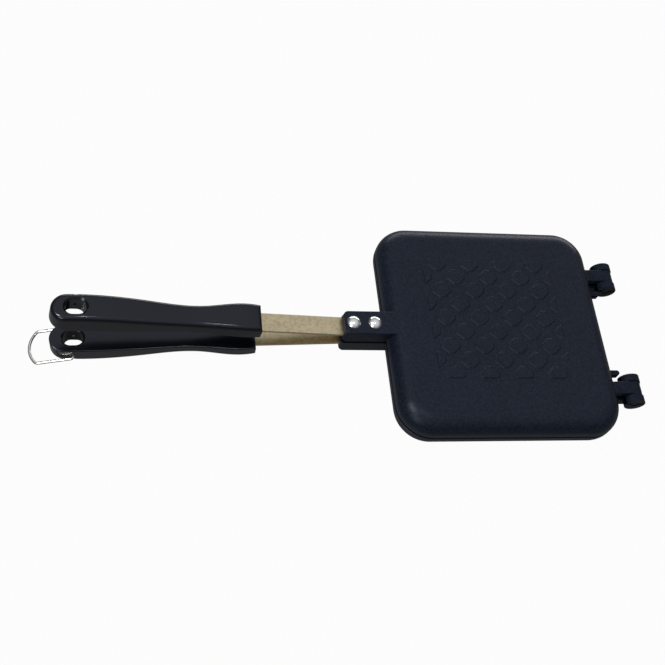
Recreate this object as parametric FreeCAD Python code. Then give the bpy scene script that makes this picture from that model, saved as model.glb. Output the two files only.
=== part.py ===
import FreeCAD, Part
import math
import os

from FreeCAD import Placement, Rotation, Vector

# A pie iron: two shallow square pans that close on each other, hinged at the far side, each on a
# flat spring-steel strip with a moulded grip, and a wire bail that holds the grips together.
# X runs from the grips to the hinge, Y runs across, Z is up.  The origin is under the middle of the
# lower pan, on the plane of the pads that it stands on.  All sizes are millimetres.

# Pans
pan_side = 140.0
pan_depth = 13.6
pan_corner_radius = 20.5
pan_edge_radius = 12.2
pan_floor = 2.4
rim_width = 4.2
rim_edge_bevel = 0.6
cavity_edge_radius = 8.5

# Low diamond pads on both outer faces, in rows that leave a diagonal lattice of grooves between them
lattice_length = 85.6
lattice_width = 76.0
lattice_cells = 4
lattice_groove = 4.1
lattice_middle_x = -2.2
lattice_middle_y = 2.9
field_length = 84.0
field_width = 81.0
pad_height = 0.5
pad_draft = 0.45
pad_corner_cut = 1.9

# Lugs that hold the handle strips
lug_length = 27.9
lug_half_width = 7.6
lug_height = 11.4
lug_root = 6.0
lug_draft = 0.75
lug_end_draft = 1.2
lug_corner_radius = 2.6
lug_edge_radius = 0.9

# Handle strips
strip_width = 11.6
strip_thickness = 1.8
strip_rise = 5.2
strip_tilt = 4.3
strip_inset = 25.0
strip_tang = 42.0
tang_hole_diameter = 5.0
tang_hole_pitch = 16.0

# Rivets
rivet_head_diameter = 8.4
rivet_head_height = 2.1
rivet_shank_diameter = 4.2
rivet_tail_diameter = 6.4
rivet_tail_height = 1.1
rivet_setback = 6.6
rivet_pitch = 13.0
rivet_tail_recess = 0.3

# Grips, measured along the strip from the lug's end face
grip_start = 50.2
grip_length = 120.4
grip_draft = 0.45
grip_front_half_width = 8.7
grip_swell_half_width = 9.0
grip_waist_half_width = 7.3
grip_middle_half_width = 8.1
grip_palm_half_width = 8.8
grip_swell_share = 0.11
grip_waist_share = 0.27
grip_middle_share = 0.57
grip_palm_share = 0.82
grip_outer_front = 7.2
grip_outer_swell = 7.9
grip_outer_waist = 5.8
grip_outer_middle = 7.6
grip_outer_palm = 9.2
grip_tip_drop = 2.6
grip_inner_front = 1.9
grip_inner_end = 4.6
grip_front_slope = 0.12
grip_edge_radius = 3.0
grip_inner_edge_radius = 0.7

# Hanging slot in each grip
slot_length = 12.0
slot_width = 9.0
slot_from_end = 13.7
slot_bevel = 1.1

# Wire bail
bail_wire = 1.7
bail_hole = 1.9
bail_reach = 26.6
bail_half_width = 10.3
bail_bend_radius = 1.6
bail_corner_radius = 3.0
bail_end_radius = 14.0
bail_droop = 18.0
bail_relief_width = 2.6
bail_relief_depth = 1.3

# Hinges
hinge_spacing = 79.2
hinge_offset = 13.3
hinge_pin_diameter = 5.0
hinge_pin_recess = 0.5
hinge_clearance = 0.1
ear_radius = 6.5
ear_thickness = 4.4
ear_web_top = 0.5
ear_web_bottom = 6.0
ear_web_width = 1.3
arm_width = 8.4
arm_half_thickness = 3.0
arm_side_clearance = 0.4
arm_wall_gap = 1.0
hook_radius = 6.0
hook_mouth = 5.6
tab_width = 3.2
tab_length = 7.4
tab_height = 2.1
tab_offset = 11.6

overrun = 2.0
seat_overlap = 2.0
level_tolerance = 0.2


def box(x0, x1, y0, y1, z0, z1):
    """A block between two corners."""
    return Part.makeBox(x1 - x0, y1 - y0, z1 - z0, Vector(x0, y0, z0))


def rounded_plate(half_x, half_y, radius, z0, z1):
    """A rectangular plate with its four upright corners rounded."""
    plate = box(-half_x, half_x, -half_y, half_y, z0, z1)
    upright = [e for e in plate.Edges if abs(e.Vertexes[0].Z - e.Vertexes[1].Z) > (z1 - z0) / 2]
    return plate.makeFillet(radius, upright)


def edges_at_height(shape, z):
    """The edges that lie in one level plane."""
    found = []
    for edge in shape.Edges:
        bounds = edge.BoundBox
        if abs(bounds.ZMin - z) < level_tolerance and abs(bounds.ZMax - z) < level_tolerance:
            found.append(edge)
    return found


def cylinder_y(radius, y0, y1, x, z):
    """A round bar along Y."""
    return Part.makeCylinder(radius, y1 - y0, Vector(x, y0, z), Vector(0, 1, 0))


def round_ended_bar(length, width, z0, z1, x):
    """An upright bar with round ends along X, which cuts slots and grooves."""
    radius = width / 2
    half = (length - width) / 2
    a = Vector(x - half, -radius, z0)
    b = Vector(x + half, -radius, z0)
    c = Vector(x + half, radius, z0)
    d = Vector(x - half, radius, z0)
    wire = Part.Wire([
        Part.LineSegment(a, b).toShape(),
        Part.Arc(b, Vector(x + half + radius, 0, z0), c).toShape(),
        Part.LineSegment(c, d).toShape(),
        Part.Arc(d, Vector(x - half - radius, 0, z0), a).toShape(),
    ])
    return Part.Face(wire).extrude(Vector(0, 0, z1 - z0))


def pan_body():
    """One pan, rim down on z = 0, without its lug and hinge parts."""
    half = pan_side / 2
    outer = rounded_plate(half, half, pan_corner_radius, 0, pan_depth)
    outer = outer.makeFillet(pan_edge_radius, edges_at_height(outer, pan_depth))
    return outer.makeChamfer(rim_edge_bevel, edges_at_height(outer, 0))


def pan_cavity():
    """The space inside one pan."""
    half = pan_side / 2 - rim_width
    ceiling = pan_depth - pan_floor
    cavity = rounded_plate(half, half, pan_corner_radius - rim_width, -overrun, ceiling)
    return cavity.makeFillet(cavity_edge_radius, edges_at_height(cavity, ceiling))


def pad_outline(x, y, gap, z):
    """A diamond of the lattice at one level, moved in by a gap on each side, its corners cut off."""
    half_x = lattice_length / lattice_cells / 2
    half_y = lattice_width / lattice_cells / 2
    share = 1 - gap * math.hypot(half_x, half_y) / (half_x * half_y)
    tips = [Vector(x + half_x * share, y, z), Vector(x, y + half_y * share, z),
            Vector(x - half_x * share, y, z), Vector(x, y - half_y * share, z)]
    points = []
    for tip, before, after in zip(tips, tips[-1:] + tips[:-1], tips[1:] + tips[:1]):
        points.append(tip + (before - tip).normalize() * pad_corner_cut)
        points.append(tip + (after - tip).normalize() * pad_corner_cut)
    return Part.makePolygon(points + points[:1])


def field_outline(inset, z):
    """The border of the whole field of pads at one level."""
    x0 = lattice_middle_x - field_length / 2 + inset
    x1 = lattice_middle_x + field_length / 2 - inset
    y0 = lattice_middle_y - field_width / 2 + inset
    y1 = lattice_middle_y + field_width / 2 - inset
    start = Vector(x0, y0, z)
    return Part.makePolygon([start, Vector(x1, y0, z), Vector(x1, y1, z), Vector(x0, y1, z), start])


def lattice_pads():
    """The drafted pads in every second place of a grid, cut off along the border of their field."""
    half_x = lattice_length / lattice_cells / 2
    half_y = lattice_width / lattice_cells / 2
    # each wall starts below the face, as far as it rises above it, so its slope is the same throughout
    low = pan_depth - pad_height
    high = pan_depth + pad_height
    wide = lattice_groove / 2 - pad_draft
    narrow = lattice_groove / 2 + pad_draft
    field = Part.makeLoft([field_outline(-pad_draft, low), field_outline(pad_draft, high)], True, True)
    pads = []
    for column in range(-lattice_cells, lattice_cells + 1):
        for row in range(-lattice_cells, lattice_cells + 1):
            if (column + row) % 2 == 0:
                continue
            x = lattice_middle_x + column * half_x
            y = lattice_middle_y + row * half_y
            shape = Part.makeLoft([pad_outline(x, y, wide, low), pad_outline(x, y, narrow, high)], True, True)
            if lattice_cells in (abs(column), abs(row)):
                shape = shape.common(field)
            pads.append(shape)
    return pads


def lug():
    """The block at the handle side, wider and longer at the rim plane, before its strip slot is cut."""
    end = -pan_side / 2 - lug_length
    face_end = end + lug_end_draft
    inner = -pan_side / 2 + lug_root

    def section(end_x, half_width, z):
        start = Vector(end_x, -half_width, z)
        return Part.makePolygon([
            start, Vector(inner, -half_width, z), Vector(inner, half_width, z),
            Vector(end_x, half_width, z), start,
        ])

    rim_section = section(end, lug_half_width + lug_draft, 0)
    face_section = section(face_end, lug_half_width, lug_height)
    block = Part.makeLoft([rim_section, face_section], True, True)
    corners = []
    for edge in block.Edges:
        bounds = edge.BoundBox
        if bounds.XMax < face_end + level_tolerance and bounds.ZLength > lug_height / 2:
            corners.append(edge)
    block = block.makeFillet(lug_corner_radius, corners)
    top = [e for e in edges_at_height(block, lug_height) if e.BoundBox.XMin < inner - level_tolerance]
    return block.makeFillet(lug_edge_radius, top)


def handle_place():
    """Where the strip's middle line leaves the lug, tilted outwards."""
    end = -pan_side / 2 - lug_length
    return Placement(Vector(end, 0, strip_rise), Rotation(Vector(0, 1, 0), strip_tilt))


def rivet_places():
    """X of the two rivets, counted from the lug's end."""
    first = -pan_side / 2 - lug_length + rivet_setback
    return [first, first + rivet_pitch]


def strip_blank():
    """The strip's plain bar, in the tilted frame of the handle."""
    end = -(grip_start + strip_tang)
    return box(end, strip_inset, -strip_width / 2, strip_width / 2, -strip_thickness / 2, strip_thickness / 2)


def strip():
    """The handle strip with its two rivet holes and the holes that key its tang in the grip."""
    bar = strip_blank()
    ends = [e for e in bar.Edges if e.BoundBox.ZLength > strip_thickness / 2]
    bar = bar.makeFillet(strip_thickness, ends)
    for index in range(2):
        x = -(grip_start + strip_tang) + tang_hole_pitch * (index + 0.5)
        hole = Part.makeCylinder(tang_hole_diameter / 2, strip_thickness + 2 * overrun,
                                 Vector(x, 0, -strip_thickness / 2 - overrun))
        bar = bar.cut(hole)
    bar.Placement = handle_place()
    for x in rivet_places():
        bar = bar.cut(rivet_hole(x))
    return bar


def rivet_hole(x):
    """The shank's hole through lug and strip."""
    return Part.makeCylinder(rivet_shank_diameter / 2, lug_height + 2 * overrun, Vector(x, 0, -overrun))


def rivet_tail_seat(x):
    """The cone in the lug's inner face that the closed tail of the rivet fills."""
    height = rivet_tail_height + rivet_tail_recess
    return Part.makeCone(rivet_tail_diameter / 2, rivet_shank_diameter / 2, height, Vector(x, 0, 0))


def rivet(x):
    """A dome-headed rivet, seated on the lug's top, its tail a little below the rim plane."""
    radius = rivet_head_diameter / 2
    sphere_radius = (radius ** 2 + rivet_head_height ** 2) / (2 * rivet_head_height)
    centre = lug_height + rivet_head_height - sphere_radius
    head = Part.makeSphere(sphere_radius, Vector(x, 0, centre))
    head = head.common(Part.makeCylinder(radius, rivet_head_height + overrun, Vector(x, 0, lug_height)))
    shank = Part.makeCylinder(rivet_shank_diameter / 2, lug_height, Vector(x, 0, 0))
    tail = rivet_tail_seat(x)
    body = head.fuse([shank, tail])
    recess = box(x - radius, x + radius, -radius, radius, -overrun, rivet_tail_recess)
    return body.cut(recess).removeSplitter()


def hinge_x():
    return pan_side / 2 + hinge_offset


def hinge_arms(y):
    """The upper pan's arm: out from the wall to a hook round the pin, open on its outer side."""
    wall = pan_side / 2
    axis = hinge_x()
    half = arm_width / 2
    root = box(wall - seat_overlap, wall + arm_wall_gap, y - half, y + half, 0, arm_half_thickness)
    bar = box(wall + arm_wall_gap, axis, y - half, y + half, -arm_half_thickness, arm_half_thickness)
    ring = cylinder_y(hook_radius, y - half, y + half, axis, 0)
    shape = root.fuse([bar, ring])
    reach = half + overrun
    bore = cylinder_y(hinge_pin_diameter / 2 + hinge_clearance, y - reach, y + reach, axis, 0)
    mouth = box(axis, axis + hook_radius + overrun, y - reach, y + reach, -hook_mouth / 2, hook_mouth / 2)
    return shape.cut(bore.fuse(mouth)).removeSplitter()


def hinge_ears(y):
    """The lower pan's pair of round ears on their webs, bored for the pin.  z = 0 is the rim plane."""
    wall = pan_side / 2
    axis = hinge_x()
    inner = arm_width / 2 + arm_side_clearance
    ears = []
    for side in (-1, 1):
        y0 = min(side * inner, side * (inner + ear_thickness)) + y
        y1 = y0 + ear_thickness
        disc = cylinder_y(ear_radius, y0, y1, axis, 0)
        web_y = min(side * inner, side * (inner + ear_web_width)) + y
        web = box(wall - seat_overlap, axis, web_y, web_y + ear_web_width, -ear_web_bottom, -ear_web_top)
        bore = cylinder_y(hinge_pin_diameter / 2, y0 - overrun, y1 + overrun, axis, 0)
        ears.append(disc.fuse(web).cut(bore).removeSplitter())
    return ears


def tab(y, z0, z1):
    """A small round-ended tab beside a hinge."""
    wall = pan_side / 2
    half = tab_width / 2
    block = box(wall - seat_overlap, wall + tab_length - half, y - half, y + half, z0, z1)
    end = Part.makeCylinder(half, z1 - z0, Vector(wall + tab_length - half, y, z0))
    return block.fuse(end).removeSplitter()


def hinge_rows():
    """Y of each hinge, and which way its tab stands, towards the middle."""
    return [(-hinge_spacing / 2, 1), (hinge_spacing / 2, -1)]


def upper_pan():
    """The upper casting, in its own frame: rim on z = 0, outer face up."""
    shape = pan_body().fuse(lug())
    for y, inward in hinge_rows():
        shape = shape.fuse([hinge_arms(y), tab(y + inward * tab_offset, 0, tab_height)])
    return finish_pan(shape)


def lower_pan():
    """The lower casting, drawn rim down like the upper one and turned over when it is placed."""
    shape = pan_body().fuse(lug())
    for y, inward in hinge_rows():
        turned = [ear.mirror(Vector(0, 0, 0), Vector(0, 0, 1)) for ear in hinge_ears(y)]
        shape = shape.fuse(turned + [tab(y + inward * tab_offset, 0, tab_height)])
    return finish_pan(shape)


def finish_pan(shape):
    """Pads on the outer face, then the cavity, strip slot and rivet holes."""
    slot = strip_blank()
    slot.Placement = handle_place()
    tools = [pan_cavity(), slot]
    for x in rivet_places():
        tools += [rivet_hole(x), rivet_tail_seat(x)]
    return shape.fuse(lattice_pads()).removeSplitter().cut(tools)


def grip_plan(extra, z):
    """The grip's outline seen from above at one level, as half widths along its length."""
    end = grip_start + grip_length
    palm = grip_palm_half_width + extra
    # the tip is an arc through the far end, from one palm corner to the other
    arc_start = end - palm
    shares = (0, grip_swell_share, grip_waist_share, grip_middle_share, grip_palm_share)
    along = [grip_start + grip_length * share for share in shares] + [arc_start]
    half = [grip_front_half_width, grip_swell_half_width, grip_waist_half_width,
            grip_middle_half_width, grip_palm_half_width, grip_palm_half_width]
    near = [Vector(-s, -(h + extra), z) for s, h in zip(along, half)]
    far = [Vector(-s, h + extra, z) for s, h in zip(along, half)]
    level = Vector(-1, 0, 0)
    near_curve = Part.BSplineCurve()
    near_curve.interpolate(near, InitialTangent=Vector(-1, -grip_front_slope, 0), FinalTangent=level)
    far_curve = Part.BSplineCurve()
    far_curve.interpolate(far, InitialTangent=Vector(-1, grip_front_slope, 0), FinalTangent=level)
    tip = Part.Arc(near[-1], Vector(-end, 0, z), far[-1]).toShape()
    front = Part.LineSegment(far[0], near[0]).toShape()
    return Part.Wire([near_curve.toShape(), tip, far_curve.toShape(), front])


def grip_side():
    """The grip's side view, from its flat inner face to its waisted outer face."""
    end = grip_start + grip_length
    width = grip_palm_half_width + grip_draft + overrun
    shares = (0, grip_swell_share, grip_waist_share, grip_middle_share, grip_palm_share, 1)
    heights = (grip_outer_front, grip_outer_swell, grip_outer_waist, grip_outer_middle, grip_outer_palm,
               grip_outer_palm - grip_tip_drop)
    outer = [Vector(-(grip_start + grip_length * share), -width, z) for share, z in zip(shares, heights)]
    curve = Part.BSplineCurve()
    curve.interpolate(outer)
    front_low = Vector(-grip_start, -width, -grip_inner_front)
    end_low = Vector(-end, -width, -grip_inner_end)
    wire = Part.Wire([
        curve.toShape(),
        Part.LineSegment(outer[-1], end_low).toShape(),
        Part.LineSegment(end_low, front_low).toShape(),
        Part.LineSegment(front_low, outer[0]).toShape(),
    ])
    return Part.Face(wire).extrude(Vector(0, 2 * width, 0))


def slot_x():
    """The middle of the hanging slot, in the handle's frame."""
    return -(grip_start + grip_length - slot_from_end)


def slot_middle():
    """The height of the bail's pivot, half way through the grip at the slot."""
    share = (-slot_x() - grip_start) / grip_length
    inner = -(grip_inner_front + (grip_inner_end - grip_inner_front) * share)
    return (grip_outer_palm + inner) / 2


def grip(hole_sides):
    """One grip in the handle's frame: a drafted moulding with its slot, tang socket and bail holes."""
    low = -grip_inner_end - overrun
    high = max(grip_outer_palm, grip_outer_swell) + overrun
    body = Part.makeLoft([grip_plan(grip_draft, low), grip_plan(-grip_draft, high)], True, True)
    body = body.common(grip_side())
    body = body.makeFillet(grip_edge_radius, face_edges(body, 1))
    body = body.makeFillet(grip_inner_edge_radius, face_edges(body, -1))
    x = slot_x()
    middle = slot_middle()
    body = body.cut(round_ended_bar(slot_length, slot_width, low, high, x))
    body = body.makeChamfer(slot_bevel, slot_rim_edges(body))
    reach = grip_palm_half_width + grip_draft + overrun
    # a groove in one side, open to the outer face, clears the wire's bend
    groove_y = grip_palm_half_width - bail_relief_depth + bail_relief_width / 2
    tools = [strip_blank()]
    tools.append(Part.makeCylinder(bail_relief_width / 2, high - middle, Vector(x, groove_y, middle)))
    for side in hole_sides:
        tools.append(cylinder_y(bail_hole / 2, min(0, side * reach), max(0, side * reach), x, middle))
    return body.cut(tools)


def face_edges(body, direction):
    """The edges of the broad face that looks up (1) or down (-1)."""
    broad = max(body.Faces, key=lambda face: direction * face.CenterOfMass.z * face.Area)
    return broad.Edges


def slot_rim_edges(body):
    """The edges where the hanging slot meets the two broad faces."""
    near_x = (slot_length + slot_bevel) / 2
    near_y = (slot_width + slot_bevel) / 2
    rim = []
    for edge in body.Edges:
        bounds = edge.BoundBox
        along = abs((bounds.XMin + bounds.XMax) / 2 - slot_x()) < near_x
        across = abs(bounds.YMin) < near_y and abs(bounds.YMax) < near_y
        if along and across and bounds.ZLength < 2 * slot_bevel:
            rim.append(edge)
    return rim


def rim_level():
    """The height of the closed rims above the face that the iron stands on."""
    return pan_depth + pad_height


def place_upper(shape):
    """From the rim-down frame to the upper half's place."""
    shape = shape.copy()
    shape.translate(Vector(0, 0, rim_level()))
    return shape


def place_lower(shape):
    """Turned over about the X axis, for the lower half."""
    shape = shape.copy()
    shape.rotate(Vector(0, 0, 0), Vector(1, 0, 0), 180)
    shape.translate(Vector(0, 0, rim_level()))
    return shape


def bail_pivot():
    """The bail's pivot in the object's frame."""
    point = handle_place().multVec(Vector(slot_x(), 0, slot_middle()))
    return Vector(point.x, 0, rim_level() - point.z)


def bail_leg(side):
    """One side of the wire: its bent-in end, the straight leg and the corner into the end's arc."""
    leg_y = bail_half_width
    bend = bail_bend_radius
    corner = bail_corner_radius
    # the corner lies inside the end's large arc, whose middle is on the bail's middle line
    arc_x = bail_end_radius - bail_reach
    corner_x = arc_x - math.sqrt((bail_end_radius - corner) ** 2 - (leg_y - corner) ** 2)
    outward = Vector(corner_x - arc_x, leg_y - corner, 0).normalize()
    bisector = (outward + Vector(0, 1, 0)).normalize()
    middle = Vector(corner_x, leg_y - corner, 0)
    points = [
        Vector(0, slot_width / 2, 0),
        Vector(0, leg_y - bend, 0),
        Vector(-bend * (1 - math.sqrt(0.5)), leg_y - bend * (1 - math.sqrt(0.5)), 0),
        Vector(-bend, leg_y, 0),
        Vector(corner_x, leg_y, 0),
        middle + bisector * corner,
        middle + outward * corner,
    ]
    a, b, c, d, e, f, g = [Vector(p.x, side * p.y, 0) for p in points]
    edges = [
        Part.LineSegment(a, b).toShape(),
        Part.Arc(b, c, d).toShape(),
        Part.LineSegment(d, e).toShape(),
        Part.Arc(e, f, g).toShape(),
    ]
    return edges, g


def bail():
    """The wire: bent-in ends, two legs and a shallow round end, swept with a circle."""
    far_edges, far_end = bail_leg(1)
    near_edges, near_end = bail_leg(-1)
    end_arc = Part.Arc(far_end, Vector(-bail_reach, 0, 0), near_end).toShape()
    path = Part.Wire(far_edges + [end_arc] + near_edges[::-1])
    profile = Part.Wire(Part.makeCircle(bail_wire / 2, Vector(0, slot_width / 2, 0), Vector(0, 1, 0)))
    solid = path.makePipeShell([profile], True, False)
    solid.Placement = Placement(bail_pivot(), Rotation(Vector(0, 1, 0), -bail_droop))
    return solid


def hinge_pin(y):
    """The pin between the ears, a little shorter than they are wide."""
    half = arm_width / 2 + arm_side_clearance + ear_thickness - hinge_pin_recess
    return cylinder_y(hinge_pin_diameter / 2, y - half, y + half, hinge_x(), 0)


def in_handle_frame(shape):
    """Puts a shape of the handle's frame on the rim-down half."""
    shape = shape.copy()
    shape.Placement = handle_place()
    return shape


def build():
    """Every node with its shape in place."""
    strip_shape = strip()
    # both grips are one moulding, and the second hole for the wire is in the lower one only
    upper_grip = in_handle_frame(grip([1]))
    lower_grip = in_handle_frame(grip([-1, 1]))
    rivets = [rivet(x) for x in rivet_places()]
    nodes = {
        "upper_pan": place_upper(upper_pan()),
        "lower_pan": place_lower(lower_pan()),
        "upper_strip": place_upper(strip_shape),
        "lower_strip": place_lower(strip_shape),
        "upper_grip": place_upper(upper_grip),
        "lower_grip": place_lower(lower_grip),
        "bail": bail(),
    }
    for name, shape in zip(("outer", "inner"), rivets):
        nodes["upper_rivet_" + name] = place_upper(shape)
        nodes["lower_rivet_" + name] = place_lower(shape)
    for name, row in zip(("near", "far"), hinge_rows()):
        nodes["hinge_pin_" + name] = place_lower(hinge_pin(-row[0]))
    return nodes


os.makedirs("parts", exist_ok=True)
for node, shape in build().items():
    state = "valid" if shape.isValid() else "NOT VALID"
    print(node, state, len(shape.Solids), "solid", round(shape.Volume, 1))
    shape.exportStep("parts/%s.step" % node)
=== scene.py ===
import math

import bmesh
import bpy
import mathutils
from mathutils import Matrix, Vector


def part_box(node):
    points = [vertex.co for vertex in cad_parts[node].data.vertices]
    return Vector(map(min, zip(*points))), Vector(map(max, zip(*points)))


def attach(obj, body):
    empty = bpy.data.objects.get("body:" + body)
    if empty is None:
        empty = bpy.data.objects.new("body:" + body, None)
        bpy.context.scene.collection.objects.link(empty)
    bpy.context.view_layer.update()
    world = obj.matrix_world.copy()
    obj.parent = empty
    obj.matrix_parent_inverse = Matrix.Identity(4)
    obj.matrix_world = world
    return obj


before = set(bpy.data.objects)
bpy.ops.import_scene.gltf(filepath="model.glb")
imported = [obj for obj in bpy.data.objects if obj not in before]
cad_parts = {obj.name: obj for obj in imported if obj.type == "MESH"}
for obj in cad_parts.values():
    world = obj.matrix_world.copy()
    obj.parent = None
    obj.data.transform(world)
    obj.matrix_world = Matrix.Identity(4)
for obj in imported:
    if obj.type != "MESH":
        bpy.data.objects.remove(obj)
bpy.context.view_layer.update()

# A pie iron in a plain pale studio.  Lengths are metres unless a name says mm.
mm = 0.001

# The two pans meet at half the height of the closed iron.  They are square and stand round the origin, so
# their walls lie as far out along X as along Y.
pan_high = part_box("upper_pan")[1]
rim_level = pan_high.z / 2
pan_wall = pan_high.y

# The sockets of a Mix node that mixes colours.  It has others of the same names for numbers and vectors.
mix_factor = 0
mix_first = 6
mix_second = 7
mix_result = 2


def hex_colour(text):
    """An sRGB hex colour as the linear values that a shader takes."""
    channels = [int(text[i:i + 2], 16) / 255 for i in (1, 3, 5)]
    linear = [c / 12.92 if c <= 0.04045 else ((c + 0.055) / 1.055) ** 2.4 for c in channels]
    return (*linear, 1.0)


def add_node(tree, kind, settings=None, links=None):
    """Adds one node, with its properties and socket values, and what comes into its sockets.

    Sockets go by name, or by number where a node has several of one name.
    """
    node = tree.nodes.new(kind)
    for name, value in (settings or {}).items():
        if isinstance(name, str) and hasattr(node, name):
            setattr(node, name, value)
        else:
            node.inputs[name].default_value = value
    for name, source in (links or {}).items():
        tree.links.new(source, node.inputs[name])
    return node


def new_material(name):
    """An empty material and its node tree."""
    material = bpy.data.materials.new(name)
    material.use_nodes = True
    material.node_tree.nodes.clear()
    return material, material.node_tree


def add_surface(tree, settings, links):
    """The shader, whose own sockets hold what is the same all over, and the material's output."""
    shader = add_node(tree, "ShaderNodeBsdfPrincipled", settings, links)
    add_node(tree, "ShaderNodeOutputMaterial", links={"Surface": shader.outputs["BSDF"]})


def pattern_space(tree, spacing_mm):
    """Object coordinates in steps of a pattern's own spacing along X, Y and Z."""
    place = add_node(tree, "ShaderNodeTexCoord")
    scale = [1 / (size * mm) for size in spacing_mm]
    mapping = add_node(tree, "ShaderNodeMapping", {"Scale": scale}, {"Vector": place.outputs["Object"]})
    return mapping.outputs["Vector"]


def orange_peel(tree):
    """The grain of the sprayed coat, and its colour: fine spots, mixed with broad clouds where it is thicker.

    The real grain is finer than a pixel, so it is drawn as coarse as it needs to show.
    """
    grain_mm = 1.3
    cloud_mm = 26.0
    spots_begin = 0.36
    spots_full = 0.64
    spots_share = 0.5
    fine = pattern_space(tree, (grain_mm,) * 3)
    grain = add_node(tree, "ShaderNodeTexNoise",
                     {"Scale": 1.0, "Detail": 3.0, "Roughness": 0.65},
                     {"Vector": fine})
    broad = pattern_space(tree, (cloud_mm,) * 3)
    mottle = add_node(tree, "ShaderNodeTexNoise",
                      {"Scale": 1.0, "Detail": 4.0, "Roughness": 0.55},
                      {"Vector": broad})
    speckle = add_node(tree, "ShaderNodeMapRange",
                       {"From Min": spots_begin, "From Max": spots_full},
                       {"Value": grain.outputs["Fac"]})
    spots = add_node(tree, "ShaderNodeMix", {
        "data_type": "RGBA",
        mix_first: hex_colour("#06090F"),
        mix_second: hex_colour("#1E2533"),
    }, {mix_factor: speckle.outputs["Result"]})
    clouds = add_node(tree, "ShaderNodeMix", {
        "data_type": "RGBA",
        mix_first: hex_colour("#0C1018"),
        mix_second: hex_colour("#171E2A"),
    }, {mix_factor: mottle.outputs["Fac"]})
    tint = add_node(tree, "ShaderNodeMix",
                    {"data_type": "RGBA", mix_factor: spots_share},
                    {mix_first: clouds.outputs[mix_result], mix_second: spots.outputs[mix_result]})
    return grain.outputs["Fac"], tint.outputs[mix_result]


def rim_painted_light_masks(tree):
    """Where the coat gets painted highlight, painted shade and what belongs to a hinge, each from 0 to 1.

    The painted highlight is a band round the line between the pans, for light caught on the rim edges.  The
    painted shade line is thinner, on upright faces, for the shadow in the groove of the joint.  It lies just
    over the joint, where it is high enough to show.
    """
    # The band of painted highlight round the joint, then the thinner line of painted shade just over it.
    highlight_band_mm = 5.0
    highlight_band_full_share = 0.5
    shade_line_mm = 1.3
    shade_line_full_share = 0.6
    shade_line_rise_share = 0.8
    upright_begins = 0.6
    upright_full = 0.4
    past_wall_mm = 0.5
    shade_line_level = rim_level + shade_line_rise_share * shade_line_mm * mm
    hinge_begins = pan_wall + past_wall_mm * mm
    place = add_node(tree, "ShaderNodeTexCoord")
    point = add_node(tree, "ShaderNodeSeparateXYZ", links={"Vector": place.outputs["Object"]})
    facing = add_node(tree, "ShaderNodeSeparateXYZ", links={"Vector": place.outputs["Normal"]})

    over_line = add_node(tree, "ShaderNodeMath",
                         {"operation": "SUBTRACT", 1: shade_line_level},
                         {0: point.outputs["Z"]})
    distance = add_node(tree, "ShaderNodeMath", {"operation": "ABSOLUTE"}, {0: over_line.outputs[0]})
    # Painted highlight: a band round the joint, later drawn in a lighter grey.
    band = add_node(tree, "ShaderNodeMapRange",
                    {"From Min": highlight_band_mm * mm, "From Max": highlight_band_full_share * highlight_band_mm * mm},
                    {"Value": distance.outputs[0]})
    from_middle = add_node(tree, "ShaderNodeMath", {"operation": "ABSOLUTE"}, {0: point.outputs["X"]})
    on_pan = add_node(tree, "ShaderNodeMath",
                      {"operation": "LESS_THAN", 1: hinge_begins},
                      {0: from_middle.outputs[0]})
    rim_highlight = add_node(tree, "ShaderNodeMath",
                      {"operation": "MULTIPLY"},
                      {0: band.outputs["Result"], 1: on_pan.outputs[0]})

    # Painted shade: a thin line just over the joint, the shadow in its groove.
    line = add_node(tree, "ShaderNodeMapRange",
                    {"From Min": shade_line_mm * mm, "From Max": shade_line_full_share * shade_line_mm * mm},
                    {"Value": distance.outputs[0]})
    level = add_node(tree, "ShaderNodeMath", {"operation": "ABSOLUTE"}, {0: facing.outputs["Z"]})
    upright = add_node(tree, "ShaderNodeMapRange",
                       {"From Min": upright_begins, "From Max": upright_full},
                       {"Value": level.outputs[0]})
    painted_shade_line = add_node(tree, "ShaderNodeMath",
                     {"operation": "MULTIPLY"},
                     {0: upright.outputs["Result"], 1: line.outputs["Result"]})

    # The hinges, which get less reflection as painted shade.
    on_hinge = add_node(tree, "ShaderNodeMath",
                        {"operation": "GREATER_THAN", 1: hinge_begins},
                        {0: point.outputs["X"]})
    return rim_highlight.outputs[0], painted_shade_line.outputs[0], on_hinge.outputs[0]


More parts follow.
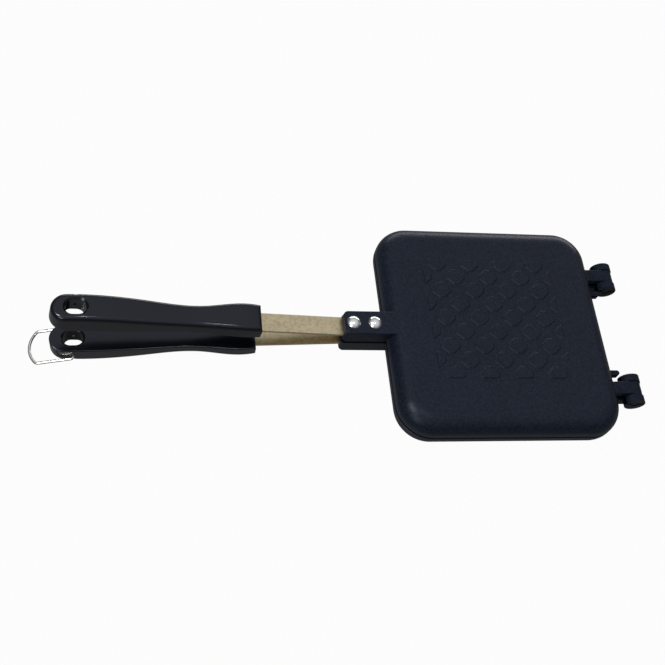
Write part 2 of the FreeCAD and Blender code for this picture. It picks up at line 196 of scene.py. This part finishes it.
def sprayed_nonstick_on_cast_aluminium():
    """Sprayed and baked non-stick coat on a die casting: navy black and satin, with a fine orange peel.

    Round the sides, a lighter grey band is painted highlight.  Along the line where the pans meet, a dark
    line with little reflection is painted shade.  The hinges get half that cut in reflection, painted shade
    for the darker reflections of their rounded knuckles.
    """
    peel_depth_mm = 0.12
    smoothest = 0.32
    roughest = 0.42
    usual_shine = 0.5
    shade_line_shine = 0.05
    hinge_reflection_cut = 0.5
    material, tree = new_material("sprayed_nonstick_on_cast_aluminium")
    grain, tint = orange_peel(tree)
    rim_highlight, painted_shade_line, on_hinge = rim_painted_light_masks(tree)
    # Painted highlight: lighter grey #2A2D34 in the band round the joint.
    worn = add_node(tree, "ShaderNodeMix",
                    {"data_type": "RGBA", mix_second: hex_colour("#2A2D34")},
                    {mix_factor: rim_highlight, mix_first: tint})
    # Painted shade: near black #030304 on the line just over the joint.
    colour = add_node(tree, "ShaderNodeMix",
                      {"data_type": "RGBA", mix_second: hex_colour("#030304")},
                      {mix_factor: painted_shade_line, mix_first: worn.outputs[mix_result]})
    # Painted shade as less reflection: full on the shade line, half on the hinges.
    dull = add_node(tree, "ShaderNodeMath",
                    {"operation": "MULTIPLY_ADD", 1: hinge_reflection_cut},
                    {0: on_hinge, 2: painted_shade_line})
    shine = add_node(tree, "ShaderNodeMapRange",
                     {"To Min": usual_shine, "To Max": shade_line_shine},
                     {"Value": dull.outputs[0]})
    gloss = add_node(tree, "ShaderNodeMapRange", {"To Min": smoothest, "To Max": roughest}, {"Value": grain})
    bump = add_node(tree, "ShaderNodeBump",
                    {"Strength": 0.5, "Distance": peel_depth_mm * mm},
                    {"Height": grain})
    add_surface(tree, {
        "Metallic": 0.0,
        "IOR": 1.33,
        "Specular Tint": hex_colour("#DBDFF2"),
    }, {
        "Base Color": colour.outputs[mix_result],
        "Specular IOR Level": shine.outputs["Result"],
        "Roughness": gloss.outputs["Result"],
        "Normal": bump.outputs["Normal"],
    })
    return material


def rolled_champagne_stainless():
    """Cold-rolled stainless strip with a warm tint: fine lines run along its length, over browner patches.

    The real lines are closer together, and are drawn as coarse as they need to show.
    """
    line_mm = 0.35
    line_length_mm = 22.0
    line_depth_mm = 0.02
    patch_mm = 2.2
    patches_begin = 0.45
    patches_full = 0.75
    smoothest = 0.26
    roughest = 0.40
    material, tree = new_material("rolled_champagne_stainless")
    along = pattern_space(tree, (line_length_mm, line_mm, line_mm))
    lines = add_node(tree, "ShaderNodeTexNoise",
                     {"Scale": 1.0, "Detail": 2.0, "Roughness": 0.5},
                     {"Vector": along})
    clean = add_node(tree, "ShaderNodeMix", {
        "data_type": "RGBA",
        mix_first: hex_colour("#C3B591"),
        mix_second: hex_colour("#DFD0AC"),
    }, {mix_factor: lines.outputs["Fac"]})
    broad = pattern_space(tree, (patch_mm,) * 3)
    patches = add_node(tree, "ShaderNodeTexNoise",
                       {"Scale": 1.0, "Detail": 5.0, "Roughness": 0.7},
                       {"Vector": broad})
    stain = add_node(tree, "ShaderNodeMapRange",
                     {"From Min": patches_begin, "From Max": patches_full},
                     {"Value": patches.outputs["Fac"]})
    colour = add_node(tree, "ShaderNodeMix",
                      {"data_type": "RGBA", mix_second: hex_colour("#AF9A77")},
                      {mix_factor: stain.outputs["Result"], mix_first: clean.outputs[mix_result]})
    gloss = add_node(tree, "ShaderNodeMapRange",
                     {"To Min": smoothest, "To Max": roughest},
                     {"Value": lines.outputs["Fac"]})
    bump = add_node(tree, "ShaderNodeBump",
                    {"Strength": 0.15, "Distance": line_depth_mm * mm},
                    {"Height": lines.outputs["Fac"]})
    add_surface(tree, {
        "Metallic": 1.0,
        "Anisotropic": 0.35,
    }, {
        "Base Color": colour.outputs[mix_result],
        "Roughness": gloss.outputs["Result"],
        "Normal": bump.outputs["Normal"],
    })
    return material


def headed_bright_aluminium():
    """Cold-headed aluminium rivet: bright, with faint scuffs from the setting tool.

    The real scuffs are finer, and are drawn as coarse as they need to show.
    """
    scuff_mm = 1.4
    scuff_depth_mm = 0.1
    smoothest = 0.14
    roughest = 0.30
    material, tree = new_material("headed_bright_aluminium")
    place = pattern_space(tree, (scuff_mm,) * 3)
    scuffs = add_node(tree, "ShaderNodeTexNoise",
                      {"Scale": 1.0, "Detail": 4.0, "Roughness": 0.65},
                      {"Vector": place})
    gloss = add_node(tree, "ShaderNodeMapRange",
                     {"To Min": smoothest, "To Max": roughest},
                     {"Value": scuffs.outputs["Fac"]})
    bump = add_node(tree, "ShaderNodeBump",
                    {"Strength": 0.35, "Distance": scuff_depth_mm * mm},
                    {"Height": scuffs.outputs["Fac"]})
    add_surface(tree, {
        "Metallic": 1.0,
        "Base Color": hex_colour("#ECECE8"),
    }, {
        "Roughness": gloss.outputs["Result"],
        "Normal": bump.outputs["Normal"],
    })
    return material


def moulded_black_phenolic():
    """Compression-moulded phenolic: deep black and glossy, its skin slightly wavy."""
    wave_mm = 9.0
    wave_depth_mm = 0.12
    speck_mm = 0.5
    smoothest = 0.14
    roughest = 0.24
    material, tree = new_material("moulded_black_phenolic")
    broad = pattern_space(tree, (wave_mm,) * 3)
    waves = add_node(tree, "ShaderNodeTexNoise",
                     {"Scale": 1.0, "Detail": 1.0, "Roughness": 0.4},
                     {"Vector": broad})
    fine = pattern_space(tree, (speck_mm,) * 3)
    specks = add_node(tree, "ShaderNodeTexNoise",
                      {"Scale": 1.0, "Detail": 2.0, "Roughness": 0.5},
                      {"Vector": fine})
    gloss = add_node(tree, "ShaderNodeMapRange",
                     {"To Min": smoothest, "To Max": roughest},
                     {"Value": specks.outputs["Fac"]})
    bump = add_node(tree, "ShaderNodeBump",
                    {"Strength": 0.25, "Distance": wave_depth_mm * mm},
                    {"Height": waves.outputs["Fac"]})
    add_surface(tree, {
        "Metallic": 0.0,
        "IOR": 1.5,
        "Specular Tint": hex_colour("#EAEBFA"),
        "Base Color": hex_colour("#06070B"),
    }, {
        "Roughness": gloss.outputs["Result"],
        "Normal": bump.outputs["Normal"],
    })
    return material


def nickel_plated_wire():
    """Drawn steel wire under bright nickel: mirror-like, with faint fine marks from the die."""
    mark_mm = 0.25
    smoothest = 0.10
    roughest = 0.22
    material, tree = new_material("nickel_plated_wire")
    place = pattern_space(tree, (mark_mm,) * 3)
    marks = add_node(tree, "ShaderNodeTexNoise",
                     {"Scale": 1.0, "Detail": 2.0, "Roughness": 0.5},
                     {"Vector": place})
    gloss = add_node(tree, "ShaderNodeMapRange",
                     {"To Min": smoothest, "To Max": roughest},
                     {"Value": marks.outputs["Fac"]})
    add_surface(tree, {
        "Metallic": 1.0,
        "Base Color": hex_colour("#D9D6CE"),
    }, {
        "Roughness": gloss.outputs["Result"],
    })
    return material


def coated_steel_pin():
    """Steel pin pressed in before spraying: its end has the pan's dark coat, worn to a dull grey."""
    wear_mm = 1.2
    smoothest = 0.35
    roughest = 0.5
    material, tree = new_material("coated_steel_pin")
    place = pattern_space(tree, (wear_mm,) * 3)
    wear = add_node(tree, "ShaderNodeTexNoise",
                    {"Scale": 1.0, "Detail": 3.0, "Roughness": 0.6},
                    {"Vector": place})
    colour = add_node(tree, "ShaderNodeMix", {
        "data_type": "RGBA",
        mix_first: hex_colour("#0E1014"),
        mix_second: hex_colour("#1C1E22"),
    }, {mix_factor: wear.outputs["Fac"]})
    gloss = add_node(tree, "ShaderNodeMapRange",
                     {"To Min": smoothest, "To Max": roughest},
                     {"Value": wear.outputs["Fac"]})
    add_surface(tree, {
        "Metallic": 0.6,
    }, {
        "Base Color": colour.outputs[mix_result],
        "Roughness": gloss.outputs["Result"],
    })
    return material


coat = sprayed_nonstick_on_cast_aluminium()
rivets = ["upper_rivet_outer", "upper_rivet_inner", "lower_rivet_outer", "lower_rivet_inner"]
finishes = [
    (coat, ["upper_pan", "lower_pan"]),
    (rolled_champagne_stainless(), ["upper_strip", "lower_strip"]),
    (moulded_black_phenolic(), ["upper_grip", "lower_grip"]),
    (headed_bright_aluminium(), rivets),
    (nickel_plated_wire(), ["bail"]),
    (coated_steel_pin(), ["hinge_pin_near", "hinge_pin_far"]),
]
for finish, nodes in finishes:
    for node in nodes:
        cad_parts[node].data.materials[0] = finish


def crest_outline(axis_x, axis_z):
    """The crest of a hinge arm from the side, as (x, z) points: its flat foot, then its top.

    Its heights are over the hinge's axis.  The top leaves the pan's wall and rises ever more gently to the
    crown over the axis.
    """
    foot = 2.5 * mm
    start = 5.7 * mm
    crown = 6.03 * mm
    into_wall = 0.6 * mm
    steps = 8
    wall_x = pan_wall - into_wall
    points = [(axis_x, axis_z + foot), (wall_x, axis_z + foot)]
    for step in range(steps + 1):
        share = step / steps
        drop = (crown - start) * (1 - share) ** 2
        points.append((wall_x + (axis_x - wall_x) * share, axis_z + crown - drop))
    return points


def arm_crest(name, pin):
    """The cast crest on a hinge arm, which carries its top level from the pan's side over the hook."""
    half_width = 4.15 * mm
    rounding = 0.6 * mm
    sharp_angle = math.radians(35)
    foot_points = 2
    low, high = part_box(pin)
    axis = (low + high) / 2
    outline = crest_outline(axis.x, axis.z)
    form = bmesh.new()
    near = [form.verts.new((x, axis.y - half_width, z)) for x, z in outline]
    far = [form.verts.new((x, axis.y + half_width, z)) for x, z in outline]
    form.faces.new(near)
    form.faces.new(list(reversed(far)))
    for i in range(len(outline)):
        after = (i + 1) % len(outline)
        form.faces.new((near[i], far[i], far[after], near[after]))
    bmesh.ops.recalc_face_normals(form, faces=form.faces)
    tops = [set(near[foot_points:]), set(far[foot_points:])]
    long_edges = [edge for edge in form.edges if any(set(edge.verts) <= top for top in tops)]
    bmesh.ops.bevel(form, geom=long_edges, offset=rounding, segments=3, profile=0.5, affect="EDGES")
    mesh = bpy.data.meshes.new(name)
    form.to_mesh(mesh)
    form.free()
    mesh.shade_smooth()
    mesh.set_sharp_from_angle(angle=sharp_angle)
    mesh.materials.append(coat)
    crest = bpy.data.objects.new(name, mesh)
    bpy.context.scene.collection.objects.link(crest)
    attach(crest, "upper_half")


arm_crest("arm_crest_near", "hinge_pin_near")
arm_crest("arm_crest_far", "hinge_pin_far")


def pale_floor_paint():
    """Nearly all white glow to the camera, with a trace of lit grey that keeps the iron's shadow.

    What the iron mirrors is mostly the grey, so its sides stay dark.
    """
    seen_share = 0.97
    mirrored_share = 0.06
    material, tree = new_material("pale_floor")
    matt = add_node(tree, "ShaderNodeBsdfDiffuse", {"Color": hex_colour("#7A7A7A")})
    glow = add_node(tree, "ShaderNodeEmission", {"Color": hex_colour("#FFFFFF"), "Strength": 1.0})
    path = add_node(tree, "ShaderNodeLightPath")
    mirrored = add_node(tree, "ShaderNodeMath",
                        {"operation": "ADD"},
                        {0: path.outputs["Is Glossy Ray"], 1: path.outputs["Is Transmission Ray"]})
    direct = add_node(tree, "ShaderNodeMath",
                      {"operation": "MULTIPLY", 1: seen_share},
                      {0: path.outputs["Is Camera Ray"]})
    share = add_node(tree, "ShaderNodeMath",
                     {"operation": "MULTIPLY_ADD", 1: mirrored_share},
                     {0: mirrored.outputs[0], 2: direct.outputs[0]})
    mixed = add_node(tree, "ShaderNodeMixShader",
                     links={0: share.outputs[0], 1: matt.outputs[0], 2: glow.outputs[0]})
    add_node(tree, "ShaderNodeOutputMaterial", links={"Surface": mixed.outputs[0]})
    return material


def studio_floor():
    """A large level floor just under the bail, which is the lowest thing when the iron is closed.

    It stays level so that nothing meets it when the upper half is thrown over.
    """
    half = 6.0
    gap = 0.1 * mm
    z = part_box("bail")[0].z - gap
    corners = [(-half, -half, z), (half, -half, z), (half, half, z), (-half, half, z)]
    mesh = bpy.data.meshes.new("floor")
    mesh.from_pydata(corners, [], [(0, 1, 2, 3)])
    mesh.materials.append(pale_floor_paint())
    floor = bpy.data.objects.new("floor", mesh)
    bpy.context.scene.collection.objects.link(floor)


def studio_world():
    """White where it is seen, and a plain room for everything else: dark horizon, soft ceiling.

    A height here is that of the direction looked in, 1 straight up.
    """
    horizon_height = 0.2
    horizon_light = (0.07, 0.07, 0.08, 1)
    ceiling_height = 0.85
    ceiling_light = (0.68, 0.70, 0.74, 1)
    world = bpy.data.worlds.new("studio")
    bpy.context.scene.world = world
    world.use_nodes = True
    tree = world.node_tree
    tree.nodes.clear()
    place = add_node(tree, "ShaderNodeTexCoord")
    height = add_node(tree, "ShaderNodeSeparateXYZ", links={"Vector": place.outputs["Generated"]})
    ramp = add_node(tree, "ShaderNodeValToRGB", links={"Fac": height.outputs["Z"]})
    horizon, ceiling = ramp.color_ramp.elements
    horizon.position = horizon_height
    horizon.color = horizon_light
    ceiling.position = ceiling_height
    ceiling.color = ceiling_light
    room = add_node(tree, "ShaderNodeBackground", {"Strength": 1.0}, {"Color": ramp.outputs["Color"]})
    white = add_node(tree, "ShaderNodeBackground", {"Color": hex_colour("#FFFFFF"), "Strength": 1.0})
    path = add_node(tree, "ShaderNodeLightPath")
    mixed = add_node(tree, "ShaderNodeMixShader",
                     links={0: path.outputs["Is Camera Ray"], 1: room.outputs[0], 2: white.outputs[0]})
    add_node(tree, "ShaderNodeOutputWorld", links={"Surface": mixed.outputs[0]})


def softbox(name, target, place, width, height, watts):
    """A rectangular soft lamp that points at one place."""
    lamp = bpy.data.lights.new(name, "AREA")
    lamp.shape = "RECTANGLE"
    lamp.size = width
    lamp.size_y = height
    lamp.energy = watts
    holder = bpy.data.objects.new(name, lamp)
    holder.location = place
    direction = mathutils.Vector(target) - mathutils.Vector(place)
    holder.rotation_euler = direction.to_track_quat("-Z", "Y").to_euler()
    bpy.context.scene.collection.objects.link(holder)


def studio_lamps():
    """Four soft lamps, each placed for what it lights."""
    middle = (-0.09, 0.0, 0.01)
    grip_front = (-0.17, 0.0, 0.03)
    # The soft spot on the pan's near left corner.
    softbox("upper_left", middle, place=(-0.98, -0.10, 1.06), width=0.22, height=0.22, watts=6.5)
    # The small sharp highlights on the grips and the rivets.
    softbox("small_overhead", grip_front, place=(-0.17, -0.20, 1.29), width=0.10, height=0.04, watts=1.0)
    # The sides that face the camera.
    softbox("front_left", middle, place=(-0.95, -0.85, 0.75), width=0.5, height=0.5, watts=3.2)
    # The light edge along the pan's far side.
    softbox("far_side", middle, place=(0.4, 1.6, 0.2), width=2.4, height=0.4, watts=12.5)


def photo_camera():
    """The camera of the photograph, found from the iron's outline in it."""
    image_px = 665.0
    focal_px = 1107.85
    centre_px = (301.88, 251.93)
    eye_mm = (-259.11, -300.64, 588.66)
    elevation = math.radians(56.298)
    yaw = math.radians(-21.912)
    roll = math.radians(20.069)
    sensor_mm = 36.0
    level_part = math.cos(elevation)
    back = mathutils.Vector((math.sin(yaw) * level_part, -math.cos(yaw) * level_part, math.sin(elevation)))
    right = (-back).cross(mathutils.Vector((0, 0, 1))).normalized()
    up = right.cross(-back)
    turned_right = right * math.cos(roll) + up * math.sin(roll)
    turned_up = up * math.cos(roll) - right * math.sin(roll)
    axes = mathutils.Matrix((turned_right, turned_up, back)).transposed()
    data = bpy.data.cameras.new("camera")
    data.sensor_width = sensor_mm
    data.lens = focal_px / image_px * sensor_mm
    data.shift_x = (image_px / 2 - centre_px[0]) / image_px
    data.shift_y = (centre_px[1] - image_px / 2) / image_px
    data.clip_start = 0.01
    data.clip_end = 50.0
    camera = bpy.data.objects.new("camera", data)
    camera.matrix_world = mathutils.Matrix.Translation(mathutils.Vector(eye_mm) * mm) @ axes.to_4x4()
    bpy.context.scene.collection.objects.link(camera)
    bpy.context.scene.camera = camera


studio_floor()
studio_world()
studio_lamps()
photo_camera()

bpy.context.scene.view_settings.view_transform = "Standard"
